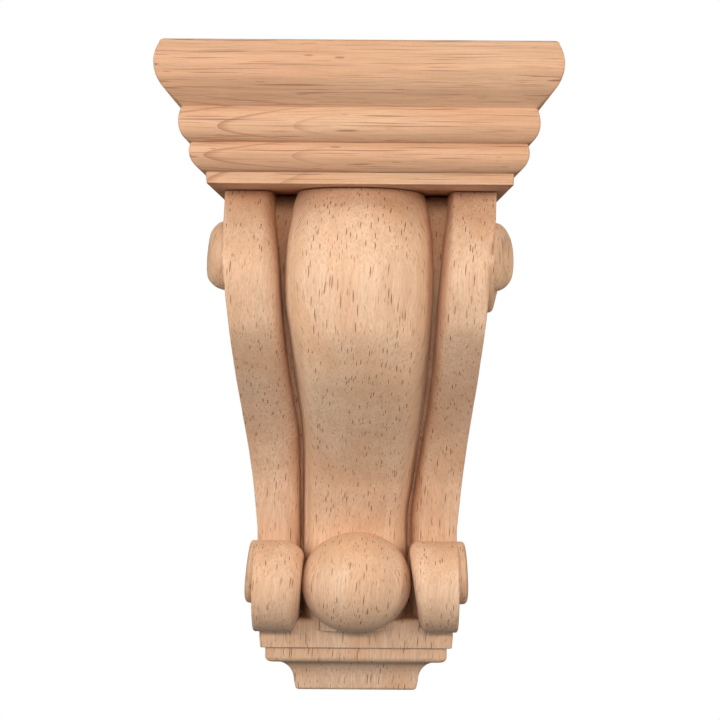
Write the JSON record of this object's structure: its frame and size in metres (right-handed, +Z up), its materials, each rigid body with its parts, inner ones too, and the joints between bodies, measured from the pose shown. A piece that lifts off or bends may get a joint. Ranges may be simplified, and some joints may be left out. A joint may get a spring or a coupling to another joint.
{
  "type": "corbel bracket",
  "caption": "Carved wooden wall corbel with a moulded cap, crowned lobe between scrolled straps, side volutes, ball and moulded foot.",
  "frame": {"origin": "middle of the flat back, half way up the corbel, on the wall", "axes": "+Z up, +X to the right seen from the front, +Y into the wall, so the carving faces -Y"},
  "size_m": [0.119, 0.1, 0.2032],
  "materials": {
    "cap_wood": "bare sanded rubberwood, grain from side to side",
    "body_wood": "bare sanded rubberwood, upright grain with open pores"
  },
  "bodies": {
    "root": {"cap": "cap_wood", "body": "body_wood"}
  },
  "joints": []
}
